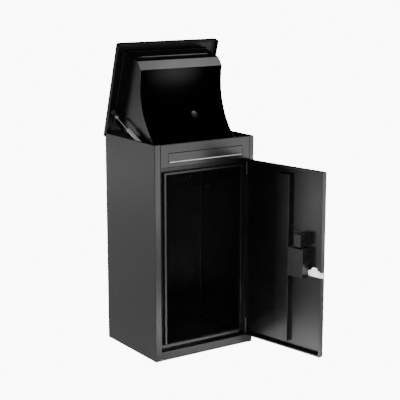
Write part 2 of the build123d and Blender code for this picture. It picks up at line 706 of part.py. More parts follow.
STUD_LEG = 1.5
with BuildPart() as lid_brackets:
    for side in (-1, 1):
        inner = STRUT_X - STRUT_EYE_W / 2 - 0.8
        leg = sorted((side * inner, side * (inner - STUD_LEG)))
        foot = sorted((side * (inner - STUD_LEG), side * (STRUT_X + STRUT_EYE_W / 2)))
        centre = (STRUT_LID_Y, LID_STUD_Z)
        block(leg, (STRUT_LID_Y - 12, STRUT_LID_Y + 12), (LID_STUD_Z - 6, LID_UNDER))
        block(foot, (STRUT_LID_Y - 12, STRUT_LID_Y + 12), (LID_UNDER - SHEET, LID_UNDER))
        stud = sorted((side * inner, side * STUD_TIP))
        disc(stud_plane(stud[0], centre), STRUT_STUD_R, stud[1] - stud[0])
save_on_lid(lid_brackets.part, "strut_lid_brackets")

# ================================================================ door, drawn closed
SKIN_Y = FRONT + SHEET
DOOR_Y = (FRONT, FRONT + DOOR_T)
with BuildPart() as door_pan:
    block((DOOR_L, DOOR_R), DOOR_Y, (DOOR_BOTTOM, DOOR_TOP))
    fillet(door_pan.faces().sort_by(Axis.Y)[0].edges(), 1.1)
    block(
        (DOOR_L + SHEET, DOOR_R - SHEET),
        (SKIN_Y, FRONT + DOOR_T - SHEET),
        (DOOR_BOTTOM + SHEET, DOOR_TOP - SHEET),
        Mode.SUBTRACT,
    )
    block(
        (DOOR_L + DOOR_LIP, DOOR_R - DOOR_LIP),
        (SKIN_Y, FRONT + DOOR_T + 1),
        (DOOR_BOTTOM + DOOR_LIP, DOOR_TOP - DOOR_LIP),
        Mode.SUBTRACT,
    )
    block((DOOR_L - 1, DOOR_L + DOOR_LIP + 1), (SLOT_Y[0], FRONT + DOOR_T + 1), SLOT_Z, Mode.SUBTRACT)
    with Locations((PIVOT_X, PIVOT_Y, (DOOR_TOP + DOOR_BOTTOM) / 2)):
        Cylinder(PIVOT_PIN_R + 0.3, DOOR_TOP - DOOR_BOTTOM + 2, mode=Mode.SUBTRACT)
    with BuildSketch(Plane.XZ.offset(-FRONT + 1)):
        with Locations((PLUG_X, PLUG_Z)):
            Circle(CYLINDER_R + RUNNING)
    extrude(amount=-(SHEET + 2), mode=Mode.SUBTRACT)
save_on_door(door_pan.part, "door_pan")

with BuildPart() as door_stiffener:
    crown = (LIP_BOTTOM + STIFFENER_MARGIN, LIP_TOP - LIP_W - STIFFENER_MARGIN)
    ends = (DOOR_BOTTOM + 23, DOOR_TOP - 20)
    with BuildSketch(Plane.XY.offset(ends[0])):
        add(hat_profile(STIFFENER_X, SKIN_Y, STIFFENER_W, STIFFENER_DEPTH - SHEET, STIFFENER_FLANGE))
    extrude(amount=ends[1] - ends[0])
    full = (STIFFENER_X - STIFFENER_W, STIFFENER_X + STIFFENER_W)
    above = (SKIN_Y + SHEET, FRONT + DOOR_T + 10)
    block(full, above, (crown[1], ends[1] + 1), Mode.SUBTRACT)
    block(full, above, (ends[0] - 1, crown[0]), Mode.SUBTRACT)
save_on_door(door_stiffener.part, "door_stiffener")

with BuildPart() as pivot_tubes:
    for start in (DOOR_BOTTOM + SHEET, DOOR_TOP - SHEET - PIVOT_TUBE):
        with BuildSketch(Plane.XY.offset(start)):
            with Locations((PIVOT_X, PIVOT_Y)):
                Circle(PIVOT_TUBE_R)
                Circle(PIVOT_PIN_R + RUNNING, mode=Mode.SUBTRACT)
        extrude(amount=PIVOT_TUBE)
save_on_door(pivot_tubes.part, "door_pivot_tubes")

# ---------------------------------------------------------------- lock
PLATE_Y = (SKIN_Y, SKIN_Y + LOCK_PLATE)
CASE_X = (CASE_L, CASE_L + CASE_W)
CASE_Z = (CASE_BOTTOM, CASE_BOTTOM + CASE_H)
CAP_Z = (CASE_Z[1] + CAP_GAP, CASE_Z[1] + CAP_GAP + CAP_H)
TONGUE_Z = (BOLT_Z - BOLT_TONGUE_H / 2, BOLT_Z + BOLT_TONGUE_H / 2)
TONGUE_Y = (FRONT + BOLT_BACK, FRONT + BOLT_BACK + BOLT_TONGUE_T)
FORK_SWING = (BOLT_THROW + FORK_W) / 2 + 0.6
FORK_REACH = (PLUG_X - FORK_SWING, PLUG_X + FORK_SWING)


def on_plug(y):
    """Plane across the key plug at y, facing +Y."""
    return Plane(origin=(PLUG_X, y, PLUG_Z), x_dir=(-1, 0, 0), z_dir=(0, 1, 0))


with BuildPart() as lock_plate:
    block((CASE_L, CASE_X[1] + LOCK_PLATE_MARGIN), PLATE_Y, (CASE_Z[0] - LOCK_PLATE_MARGIN, CAP_Z[1] + LOCK_PLATE_MARGIN))
    disc(on_plug(SKIN_Y - 1), CYLINDER_R + RUNNING, LOCK_PLATE + 2, Mode.SUBTRACT)
save_on_door(lock_plate.part, "lock_plate")


def lock_box(x, z, face):
    """Hollow cover standing on the lock plate, open towards it."""
    with BuildPart() as cover:
        block(x, (PLATE_Y[1], FRONT + face), z)
        fillet(cover.faces().sort_by(Axis.Y)[-1].edges(), 1.0)
        block(
            (x[0] + CASE_WALL, x[1] - CASE_WALL),
            (PLATE_Y[1] - 1, FRONT + face - CASE_WALL),
            (z[0] + CASE_WALL, z[1] - CASE_WALL),
            Mode.SUBTRACT,
        )
    return cover.part


with BuildPart() as lock_case:
    add(lock_box(CASE_X, CASE_Z, CASE_FACE))
    block(
        (CASE_L - 1, CASE_L + CASE_WALL + 1),
        (PLATE_Y[1] - 1, TONGUE_Y[1] + 4 * BOLT_CLEAR),
        (TONGUE_Z[0] - 1, TONGUE_Z[1] + 1),
        Mode.SUBTRACT,
    )
    block(FORK_REACH, (PLATE_Y[1] - 1, TONGUE_Y[1] + 4 * BOLT_CLEAR), (CASE_Z[1] - 3, CASE_Z[1] + 1), Mode.SUBTRACT)
save_on_door(lock_case.part, "lock_case")

with BuildPart() as lock_case_cap:
    add(lock_box((CAP_L, CAP_L + CAP_W), CAP_Z, CAP_FACE))
    block(FORK_REACH, (PLATE_Y[1] - 1, TONGUE_Y[1] + 4 * BOLT_CLEAR), (CAP_Z[0] - 1, CAP_Z[0] + 3), Mode.SUBTRACT)
save_on_door(lock_case_cap.part, "lock_case_cap")

with BuildPart() as lock_screws:
    with BuildSketch(Plane.XZ.offset(-PLATE_Y[1])):
        with Locations((CASE_X[1] - 5, CASE_Z[1] + CAP_GAP / 2), (CASE_X[1] - 5, CAP_Z[1] - 6)):
            Circle(2.6)
    extrude(amount=-1.5)
save_on_door(lock_screws.part, "lock_screws")

CYLINDER_END = FRONT + 24.0
PLUG_FACE = FRONT - ROSE_T
with BuildPart() as key_cylinder:
    disc(on_plug(FRONT - ROSE_T), ROSE_R, ROSE_T)
    fillet(key_cylinder.faces().sort_by(Axis.Y)[0].edges(), 1.2)
    disc(on_plug(FRONT), CYLINDER_R, CYLINDER_END - FRONT)
    disc(on_plug(PLUG_FACE - 1), PLUG_R + RUNNING, CYLINDER_END - PLUG_FACE + 2, Mode.SUBTRACT)
save_on_door(key_cylinder.part, "key_cylinder")

KEYWAY = (1.4, 7.0, 14.0)
with BuildPart() as key_plug:
    disc(on_plug(PLUG_FACE), PLUG_R, CYLINDER_END - PLUG_FACE + 1)
    with BuildSketch(on_plug(PLUG_FACE)):
        Rectangle(KEYWAY[0], KEYWAY[1])
    extrude(amount=KEYWAY[2], mode=Mode.SUBTRACT)
save_on_door(key_plug.part, "key_plug")

CRANK_T = 2.5
CRANK_W = 8.0
PIN_X = PLUG_X + BOLT_THROW / 2
PIN_Z = PLUG_Z - BOLT_THROW / 2
with BuildPart() as lock_crank:
    with BuildSketch(on_plug(CYLINDER_END + 1)):
        with Locations((-BOLT_THROW / 4, -BOLT_THROW / 4)):
            SlotCenterToCenter(CRANK, CRANK_W, rotation=45)
    extrude(amount=CRANK_T)
    pin_plane = Plane(origin=(PIN_X, TONGUE_Y[0] + 0.3, PIN_Z), x_dir=(-1, 0, 0), z_dir=(0, 1, 0))
    disc(pin_plane, CRANK_PIN_R, CYLINDER_END + 1 - TONGUE_Y[0])
save_on_door(lock_crank.part, "lock_crank")

BOLT_TIP = DOOR_L + BOLT_CLEAR
BOLT_TAIL = CASE_L - BOLT_THROW * 0.1
LUG_W = 22.0
LUG_H = 10.0
LUG_FROM_TAIL = 27.5
FORK_TOP = PLUG_Z - CYLINDER_R - 0.3
with BuildPart() as lock_bolt:
    with BuildSketch(Plane.XZ.offset(-(FRONT + BOLT_BACK))):
        with Locations(((BOLT_TIP + BOLT_TAIL) / 2, BOLT_Z)):
            Rectangle(BOLT_TAIL - BOLT_TIP, BOLT_H)
    extrude(amount=-BOLT_T)
    fillet(lock_bolt.edges().filter_by(Axis.Y).group_by(Axis.X)[-1], BOLT_H / 2 - 0.05)
    with BuildSketch(Plane.XZ.offset(-(FRONT + BOLT_BACK))):
        with Locations((BOLT_TAIL - LUG_FROM_TAIL, BOLT_Z + BOLT_H / 2 + LUG_H / 2 - 3)):
            RectangleRounded(LUG_W, LUG_H + 6, 4)
    extrude(amount=-BOLT_T)
    block((BOLT_TAIL - BOLT_H, PIN_X + FORK_W / 2), TONGUE_Y, TONGUE_Z)
    block((PIN_X - FORK_W / 2, PIN_X + FORK_W / 2), TONGUE_Y, (TONGUE_Z[0], FORK_TOP))
    fork = CRANK_PIN_R + FORK_CLEAR
    block(
        (PIN_X - fork, PIN_X + fork),
        (TONGUE_Y[0] - 1, TONGUE_Y[1] + 1),
        (PLUG_Z - CRANK - fork, FORK_TOP + 1),
        Mode.SUBTRACT,
    )
save_on_door(lock_bolt.part, "lock_bolt")
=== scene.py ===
"""Finishes, pressed details and studio for a steel parcel box with a scoop lid and a lockable door."""

import json
import math

import bmesh
import bpy
import numpy as np
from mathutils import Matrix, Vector


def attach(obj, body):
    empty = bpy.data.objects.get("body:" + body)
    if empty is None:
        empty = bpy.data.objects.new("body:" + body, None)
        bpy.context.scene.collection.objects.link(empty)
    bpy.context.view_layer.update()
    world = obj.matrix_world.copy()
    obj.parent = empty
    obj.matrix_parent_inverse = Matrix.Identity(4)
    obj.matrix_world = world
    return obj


bl_info = {
    "name": "Parcel box finishes",
    "version": (1, 0, 0),
    "blender": (4, 5, 0),
    "location": "View3D > Sidebar > Parcel box",
    "description": "Paints and details a sheet-steel parcel box that CAD has built",
    "category": "Object",
}

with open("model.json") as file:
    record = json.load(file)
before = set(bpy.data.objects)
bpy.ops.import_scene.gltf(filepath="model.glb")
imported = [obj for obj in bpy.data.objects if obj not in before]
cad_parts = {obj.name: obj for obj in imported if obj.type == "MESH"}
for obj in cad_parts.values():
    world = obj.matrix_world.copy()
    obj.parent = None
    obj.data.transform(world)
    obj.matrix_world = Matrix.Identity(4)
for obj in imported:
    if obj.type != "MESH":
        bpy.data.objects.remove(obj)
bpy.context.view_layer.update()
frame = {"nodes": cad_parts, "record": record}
JOINTS = {joint["name"]: joint for joint in frame["record"]["behaviour"]["joints"]}
MM = 0.001


# ---------------------------------------------------------------- shapes
def to_rest(points, joint):
    """Points drawn with the lid or door closed, turned about its hinge to where it rests.

    Each point goes round the hinge axis by Rodrigues' formula: the part along the axis stays, the
    rest is multiplied by the cosine and its quarter turn by the sine.
    """
    hinge = JOINTS[joint]
    angle = math.radians(-hinge["range_deg"][0])
    axis = np.array(hinge["axis"], float)
    origin = np.array(hinge["pos_m"], float)
    arm = np.asarray(points, float) - origin
    along = (arm @ axis)[..., None] * axis
    return origin + along + (arm - along) * math.cos(angle) + np.cross(axis, arm) * math.sin(angle)


def basis(normal, right):
    """Three unit vectors: right made square to normal, up, and normal, so that right x up = normal."""
    normal = np.array(normal, float) / np.linalg.norm(normal)
    right = np.array(right, float) - np.dot(right, normal) * normal
    right /= np.linalg.norm(right)
    return right, np.cross(normal, right), normal


def pill(centre, normal, right, profile, half=0.0, steps=48):
    """Rings round a segment: a turned shape when half is 0, otherwise a long one with round ends.

    Ring k lies at height h_k over the centre, at the distance r_k from a segment that runs half to
    each side along right: point(t, k) = centre + (half * sign(cos t) + r_k cos t) right
    + r_k sin t up + h_k normal.
    """
    across, up, out = basis(normal, right)
    turn = (np.arange(steps) + 0.5) * 2 * np.pi / steps
    radius, height = np.array(profile, float).T
    x = half * np.sign(np.cos(turn))[None, :] + radius[:, None] * np.cos(turn)
    y = radius[:, None] * np.sin(turn)
    z = np.repeat(height[:, None], steps, 1)
    return np.array(centre, float) + x[..., None] * across + y[..., None] * up + z[..., None] * out


def build(name, body, paint, shells):
    """One mesh object out of grids of rings, each closed round and capped where its end rings shrink."""
    points, quads, start = [], [], 0
    for rings in shells:
        rows, steps = rings.shape[:2]
        index = start + np.arange(rows * steps).reshape(rows, steps)
        ahead = np.roll(index, -1, 1)
        quads.append(np.stack([index[:-1], ahead[:-1], ahead[1:], index[1:]], -1).reshape(-1, 4))
        points.append(rings.reshape(-1, 3))
        start += rows * steps
    mesh = bpy.data.meshes.new(name)
    mesh.from_pydata(np.vstack(points), [], np.vstack(quads).tolist())
    work = bmesh.new()
    work.from_mesh(mesh)
    bmesh.ops.remove_doubles(work, verts=work.verts, dist=2e-6)
    bmesh.ops.dissolve_degenerate(work, edges=work.edges, dist=1e-6)
    bmesh.ops.recalc_face_normals(work, faces=work.faces)
    work.to_mesh(mesh)
    work.free()
    mesh.polygons.foreach_set("use_smooth", np.ones(len(mesh.polygons), bool))
    mesh.set_sharp_from_angle(angle=math.radians(40))
    piece = bpy.data.objects.new(name, mesh)
    bpy.context.collection.objects.link(piece)
    mesh.materials.append(paint)
    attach(piece, body)
    return piece


# ---------------------------------------------------------------- materials
def linear(code):
    """An sRGB hex colour as linear RGBA."""
    parts = np.array([int(code[i : i + 2], 16) for i in (1, 3, 5)]) / 255
    parts = np.where(parts <= 0.04045, parts / 12.92, ((parts + 0.055) / 1.055) ** 2.4)
    return (*parts, 1.0)


def put(tree, kind, links=(), **settings):
    """Adds a node: settings are its properties or, where it has none so named, its inputs."""
    made = tree.nodes.new(kind)
    for key, value in settings.items():
        if hasattr(made, key):
            setattr(made, key, value)
        else:
            made.inputs[key.replace("_", " ")].default_value = value
    for socket, source in links:
        tree.links.new(made.inputs[socket], source)
    return made


def surface(
    name, colour, roughness, grain_mm, relief_mm, cloud=0.03, metallic=0.0, coat=0.0, level=0.5, patch=None
):
    """A finish with a fine relief of grain_mm and a slow change in gloss of about a hand's width.

    patch is (centre, reach): a painted sheen. Its level of shine holds at the centre only, and fades
    to none at the reach.
    """
    made = bpy.data.materials.new(name)
    made.use_nodes = True
    tree = made.node_tree
    tree.nodes.clear()
    place = put(tree, "ShaderNodeTexCoord")
    grain = put(
        tree,
        "ShaderNodeTexNoise",
        [("Vector", place.outputs["Object"])],
        Scale=1 / (grain_mm * MM),
        Detail=3.0,
        Roughness=0.6,
    )
    slow = put(tree, "ShaderNodeTexNoise", [("Vector", place.outputs["Object"])], Scale=1 / 0.09, Detail=2.0)
    gloss = put(
        tree,
        "ShaderNodeMapRange",
        [("Value", slow.outputs[0])],
        From_Min=0.3,
        From_Max=0.7,
        To_Min=roughness - cloud / 2,
        To_Max=roughness + cloud / 2,
    )
    shade = put(tree, "ShaderNodeValToRGB", [("Fac", grain.outputs[0])])
    base = np.array(linear(colour))
    shade.color_ramp.elements[0].position = 0.3
    shade.color_ramp.elements[0].color = (*(base[:3] * 0.88), 1)
    shade.color_ramp.elements[1].position = 0.7
    shade.color_ramp.elements[1].color = (*(base[:3] * 1.1), 1)
    bump = put(
        tree, "ShaderNodeBump", [("Height", grain.outputs[0])], Strength=0.6, Distance=relief_mm * MM
    )
    shader = put(
        tree,
        "ShaderNodeBsdfPrincipled",
        [("Base Color", shade.outputs[0]), ("Roughness", gloss.outputs[0]), ("Normal", bump.outputs[0])],
        Metallic=metallic,
        Coat_Weight=coat,
    )
    shader.inputs["Specular IOR Level"].default_value = level
    if patch:
        away = put(tree, "ShaderNodeVectorMath", [(0, place.outputs["Object"])], operation="DISTANCE")
        away.inputs[1].default_value = patch[0]
        fade = put(
            tree,
            "ShaderNodeMapRange",
            [("Value", away.outputs["Value"])],
            interpolation_type="SMOOTHSTEP",
            From_Max=patch[1],
            To_Min=level,
            To_Max=0.0,
        )
        tree.links.new(shader.inputs["Specular IOR Level"], fade.outputs[0])
    put(tree, "ShaderNodeOutputMaterial", [("Surface", shader.outputs[0])])
    return made


def material(name):
    found = bpy.data.materials.get(name)
    if found is None:
        raise RuntimeError(f"material {name} hasn't been made yet")
    return found


def paint_nodes(paint, *names):
    """Gives CAD nodes a finish by their material slots."""
    for name in names:
        piece = frame["nodes"][name]
        if not piece.material_slots:
            piece.data.materials.append(paint)
        for slot in piece.material_slots:
            slot.material = paint


def ground(name, corners, paint):
    """A flat piece of the stage."""
    mesh = bpy.data.meshes.new(name)
    mesh.from_pydata(corners, [], [(0, 1, 2, 3)])
    mesh.materials.append(paint)
    piece = bpy.data.objects.new(name, mesh)
    bpy.context.scene.collection.objects.link(piece)


# ---------------------------------------------------------------- sizes, in m unless said
# a spot weld's ring and dimple, as (radius, height)
SPOT_WELD = np.array([(0, -0.1), (3.0, -0.1), (3.0, 0.0), (2.6, 0.22), (2.2, 0.22), (1.7, 0.05), (0, 0.02)]) * MM


# the two rows of spot welds, as their x and the face's y
BACK_WELDS = ((-0.0315, 0.0315), 0.1764)
DOOR_WELDS = ((-0.0361, 0.0322), -0.1776)
# where a row starts and stops, in height
BACK_WELD_RUN = (0.07, 0.77)
DOOR_WELD_RUN = (0.09, 0.68)
# the bead's middle on the chute's front, lid closed, and half the length of its straight part
BEAD_CENTRE, BEAD_HALF = (0.002, -0.1442, 0.775), 0.146
# the scoop's arc in the closed lid: its centre's y and z, its radius, and its end at the brow,
# where the painted sheen is centred, and how far that sheen reaches
SCOOP_CENTRE, SCOOP_RADIUS = np.array([-0.1489, 0.4117]), 0.2814
BROW_POINT, SHEEN_REACH = (-0.03, -0.1224, 0.6919), 0.15
# the dome in the scoop: x, degrees round the arc, half its width, and its height
DOME_X, DOME_DEGREES, DOME_WIDTH, DOME_HEIGHT = 0.041, 48, 15.0 * MM, 1.8 * MM
# the middle of the flap's sloping lip, and how far the painted highlight strip stays from its ends
LIP_MIDDLE, LIP_END = (-0.1823, 0.7482), 4 * MM
FLOOR_CORNERS = [(-30, -30, -0.0005), (30, -30, -0.0005), (30, 30, -0.0005), (-30, 30, -0.0005)]
FOOTPRINT_CORNERS = [(-0.21, -0.15, -0.0002), (0.21, -0.15, -0.0002), (0.21, 0.17, -0.0002), (-0.21, 0.17, -0.0002)]
LAMP_TINT = (1.0, 0.957, 0.973)
CAMERA_PLACE, CAMERA_LENS = (-2.304, -3.577, 1.468), 101.98
CAMERA_AZIMUTH, CAMERA_ELEVATION = -33.857, 12.059


# ---------------------------------------------------------------- settings
class FinishSettings(bpy.types.PropertyGroup):
    coat: bpy.props.StringProperty(name="Powder coat", description="sRGB hex of the satin coat", default="#060606")
    coat_roughness: bpy.props.FloatProperty(
        name="Coat roughness", description="Satin powder coat", default=0.26, min=0, max=1, subtype="FACTOR"
    )
    inner: bpy.props.StringProperty(name="Inside coat", description="sRGB hex of the thin inside coat", default="#030303")


class DetailSettings(bpy.types.PropertyGroup):
    bead_height: bpy.props.FloatProperty(
        name="Bead height", description="How far the chute's bead is pressed out", default=6.0 * MM, unit="LENGTH"
    )
    bead_radius: bpy.props.FloatProperty(
        name="Bead radius", description="Half the width of the bead", default=20.0 * MM, unit="LENGTH"
    )
    weld_pitch: bpy.props.FloatProperty(
        name="Weld pitch", description="Distance between spot welds", default=70.0 * MM, unit="LENGTH"
    )


class StudioSettings(bpy.types.PropertyGroup):
    key: bpy.props.FloatProperty(name="Key light", description="Over the lid", default=30.0, unit="POWER")
    fill: bpy.props.FloatProperty(name="Fill light", description="Beside the camera", default=150.0, unit="POWER")
    low: bpy.props.FloatProperty(name="Low light", description="Near the floor", default=17.0, unit="POWER")
    surround: bpy.props.FloatProperty(name="Surround", description="Light from the room's walls", default=0.03)
    pool: bpy.props.FloatProperty(
        name="Pool lights", description="Aimed at the paper", default=55.0, unit="POWER"
    )
    backdrop: bpy.props.FloatProperty(name="Backdrop", description="Sweep behind, to the camera", default=10.0)
    floor_glow: bpy.props.FloatProperty(name="Floor glow", description="Light from the lit paper", default=0.42)


# ---------------------------------------------------------------- operators
class PARCELBOX_OT_materials(bpy.types.Operator):
    """Make the finishes of the box"""

    bl_idname = "parcelbox.materials"
    bl_label = "Materials"

    def execute(self, context):
        finish = context.scene.parcelbox_finish
        rough = finish.coat_roughness
        # Polyester powder coat, sprayed and baked: satin, with an orange peel. The peel is about
        # 1.5 mm across, and is drawn 4 mm wide because the real one is too fine to show.
        surface("powder_coat_outside", finish.coat, rough, 4.0, 0.012)
        surface("powder_coat_lid", finish.coat, rough - 0.02, 4.0, 0.012)
        # The lid's pan and liner show less sheen than the rest of the coat.
        surface("powder_coat_lid_pan", finish.coat, rough, 4.0, 0.012, level=0.25)
        surface("powder_coat_door", finish.coat, rough - 0.02, 4.0, 0.012)
        # Matt black paint on the scoop; the kind of paint is a guess. Under the brow the shine rises in a
        # patch: painted sheen, standing for the glow of a reflection there. The patch of sheen under the
        # brow stands for wear there, and is a guess too.
        brow = to_rest(BROW_POINT, "lid_hinge")
        surface("matt_black_paint", "#020202", 0.34, 3.0, 0.01, level=0.14, patch=(brow, SHEEN_REACH))
        # The same powder inside: duller and a little darker.
        surface("powder_coat_inside", finish.inner, rough + 0.1, 4.0, 0.012)
        # Black zinc plate on brackets and hinge leaves: thin, faintly oily, flat sheen.
        surface("black_zinc_plate", "#262627", 0.38, 2.5, 0.02, metallic=0.5)
        # Bright zinc plate on pins and screws: pale with a soft sheen.
        surface("bright_zinc_plate", "#b9bbbd", 0.3, 2.5, 0.02, metallic=1.0)
        # Hard chrome on the strut rods and the bolt: ground along its length, very bright.
        surface("hard_chrome", "#e4e5e7", 0.14, 1.5, 0.004, cloud=0.04, metallic=1.0)
        # White lacquer on the bolt, taken as epoxy: smooth and bright.
        surface("white_lacquer", "#e9e9e8", 0.3, 3.0, 0.02, coat=0.2)
        # Silver-grey metallic lacquer on the strut tubes: glossy.
        surface("grey_lacquer", "#b8b9ba", 0.24, 3.0, 0.01, metallic=0.35, coat=0.3)
        # Moulded strut ends, taken as nylon: dull black with a fine grain.
        surface("moulded_nylon", "#2b2b2c", 0.5, 2.5, 0.03)
        # EPDM foam seal: matt black with open pores.
        surface("foam_rubber", "#141414", 0.85, 2.5, 0.12)
        # Satin nickel of the key cylinder: lathe-turned and plated.
        surface("satin_nickel", "#b4b1aa", 0.28, 1.5, 0.01, metallic=1.0)
        # Enamel on the lock housing: a bit lighter than the door.
        surface("lock_enamel", "#080808", 0.28, 3.0, 0.012)
        return {"FINISHED"}


class PARCELBOX_OT_cabinet(bpy.types.Operator):
    """Paint the cabinet's panels and fittings"""

    bl_idname = "parcelbox.cabinet"
    bl_label = "Cabinet"

    def execute(self, context):
        outside = ["side_panel_left", "side_panel_right", "back_panel", "sill", "fascia", "top_rim", "threshold"]
        paint_nodes(material("powder_coat_outside"), *outside)
        paint_nodes(material("powder_coat_inside"), "base_pan", "back_stiffener", "door_frame")
        plated = ["strike_plate", "door_pivot_top", "door_pivot_bottom", "pivot_washer", "flap_brackets"]
        plated += ["hinge_leaf_fixed", "hinge_leaf_moving", "strut_wall_brackets", "strut_lid_brackets", "hinge_screws"]
        paint_nodes(material("black_zinc_plate"), *plated)
        paint_nodes(material("bright_zinc_plate"), "lid_hinge_pin", "flap_pin")
        paint_nodes(material("foam_rubber"), "door_buffers", "lid_seal")
        pitch = context.scene.parcelbox_detail.weld_pitch
        across, face = BACK_WELDS
        spots = [(x, face, z) for z in np.arange(*BACK_WELD_RUN, pitch) for x in across]
        shells = [pill(spot, (0, -1, 0), (1, 0, 0), SPOT_WELD, steps=20) for spot in spots]
        build("back_spot_welds", "cabinet", material("powder_coat_inside"), shells)
        return {"FINISHED"}


class PARCELBOX_OT_lid(bpy.types.Operator):
    """Paint the lid and chute, and press the bead into the chute"""

    bl_idname = "parcelbox.lid"
    bl_label = "Lid and chute"

    def execute(self, context):
        paint = material("powder_coat_lid")
        paint_nodes(material("powder_coat_lid_pan"), "lid_pan", "lid_liner")
        paint_nodes(paint, "chute_brow", "chute_cheek_left", "chute_cheek_right")
        paint_nodes(material("matt_black_paint"), "chute_scoop")
        detail = context.scene.parcelbox_detail
        radius, height = detail.bead_radius, detail.bead_height
        step = np.linspace(0, 1, 13)
        rise = np.sqrt(1 - (1 - step) ** 2)
        wall = [(radius * (1 - t), height * r) for t, r in zip(step[1:-1], rise[1:-1])]
        profile = [(0, -0.5 * MM), (radius, -0.5 * MM), *wall, (0, height)]
        rings = pill(BEAD_CENTRE, (0, -1, 0), (1, 0, 0), profile, half=BEAD_HALF)
        build("chute_bead", "lid", paint, [to_rest(rings, "lid_hinge")])
        # a shallow round dome in the scoop, at an angle round the scoop's arc; its paint is shinier than
        # the matt scoop round it, a painted sheen that gives it a soft highlight
        angle = math.radians(DOME_DEGREES)
        inward = -np.array([math.cos(angle), math.sin(angle)])
        spot = SCOOP_CENTRE - inward * SCOOP_RADIUS
        sphere = (DOME_WIDTH**2 + DOME_HEIGHT**2) / (2 * DOME_HEIGHT)
        turn = np.linspace(math.asin(DOME_WIDTH / sphere), 0, 10)
        dome = [(0, -0.5 * MM), (DOME_WIDTH, -0.5 * MM)]
        dome += [(sphere * math.sin(t), sphere * math.cos(t) - sphere + DOME_HEIGHT) for t in turn]
        rings = pill((DOME_X, *spot), (0, *inward), (1, 0, 0), dome)
        build("scoop_dome", "lid", material("powder_coat_inside"), [to_rest(rings, "lid_hinge")])
        return {"FINISHED"}


class PARCELBOX_OT_struts(bpy.types.Operator):
    """Paint the gas struts and add their collars and rolled ends"""

    bl_idname = "parcelbox.struts"
    bl_label = "Gas struts"

    def execute(self, context):
        for side in ("left", "right"):
            paint_nodes(material("hard_chrome"), f"strut_rod_{side}")
            paint_nodes(material("grey_lacquer"), f"strut_tube_{side}")
            paint_nodes(material("moulded_nylon"), f"strut_rod_end_{side}", f"strut_foot_{side}")
            stud = np.array(JOINTS[f"strut_pivot_{side}"]["pos_m"])
            along = -np.array(JOINTS[f"strut_stroke_{side}"]["axis"], float)
            collar = [(0, 24.5), (6.6, 24.5), (7, 25), (7, 29.8), (6.6, 30.3)]
            collar += [(6.6, 31.2), (7, 31.7), (7, 37.2), (6.3, 38.2), (0, 38.2)]
            rings = pill(stud, along, (1, 0, 0), np.array(collar) * MM)
            build(f"strut_collar_{side}", f"strut_rod_{side}", material("bright_zinc_plate"), [rings])
            nose = [(0, 126.1), (4.4, 126.1), (6.9, 126.6), (7.75, 127.7), (7.75, 131.4), (7.55, 131.9)]
            nose += [(7.55, 134), (7.8, 134.5), (7.8, 136.3), (7.55, 136.8), (0, 136.8)]
            rings = pill(stud, along, (1, 0, 0), np.array(nose) * MM)
            build(f"strut_nose_{side}", f"strut_tube_{side}", material("grey_lacquer"), [rings])
            outward = np.array([-1.0 if side == "left" else 1.0, 0, 0])
            dome = [(0, -0.2), (6.5, -0.2), (6.8, 0.3), (6.2, 1.0), (4.4, 1.5), (2.2, 1.7), (0, 1.75)]
            rings = pill(stud + outward * 6 * MM, outward, (0, 1, 0), np.array(dome) * MM)
            build(f"strut_cap_{side}", f"strut_rod_{side}", material("moulded_nylon"), [rings])
        return {"FINISHED"}


class PARCELBOX_OT_door(bpy.types.Operator):
    """Paint the door and its lock"""

    bl_idname = "parcelbox.door"
    bl_label = "Door and lock"

    def execute(self, context):
        paint_nodes(material("powder_coat_door"), "door_pan", "door_stiffener", "letter_flap")
        # a bright strip pressed on the flap's lip, along its slope: a painted highlight, for the lip's bright line
        across = np.array(frame["nodes"]["letter_flap"].bound_box)[:, 0]
        strip = [(0, -0.3), (2.4, -0.3), (2.4, 0.1), (2.1, 0.7), (1.4, 1.15), (0.6, 1.3), (0, 1.35)]
        middle, half = (across.min() + across.max()) / 2, (across.max() - across.min()) / 2 - LIP_END
        rings = pill((middle, *LIP_MIDDLE), (0, -1, 1), (1, 0, 0), np.array(strip) * MM, half)
        build("flap_lip_highlight", "flap", material("bright_zinc_plate"), [rings])
        paint_nodes(material("lock_enamel"), "lock_plate", "lock_case", "lock_case_cap")
        paint_nodes(material("black_zinc_plate"), "door_pivot_tubes", "lock_crank")
        paint_nodes(material("black_zinc_plate"), "lock_screws")
        paint_nodes(material("satin_nickel"), "key_cylinder", "key_plug")
        paint_nodes(material("white_lacquer"), "lock_bolt")
        pitch = context.scene.parcelbox_detail.weld_pitch
        across, face = DOOR_WELDS
        spots = [(x, face, z) for z in np.arange(*DOOR_WELD_RUN, pitch) for x in across]
        shells = [to_rest(pill(spot, (0, 1, 0), (1, 0, 0), SPOT_WELD, steps=20), "door_hinge") for spot in spots]
        build("door_spot_welds", "door", material("powder_coat_door"), shells)
        rivet = np.array([(0, -0.2), (1.9, -0.2), (2.0, 0.1), (1.6, 0.5), (0.8, 0.7), (0, 0.75)]) * MM
        shells = [pill((-0.1325, -0.1712, z), (0, 1, 0), (1, 0, 0), rivet, steps=24) for z in (0.3405, 0.3505)]
        shells = [to_rest(shell, "door_hinge") for shell in shells]
        build("bolt_rivets", "bolt", material("black_zinc_plate"), shells)
        return {"FINISHED"}


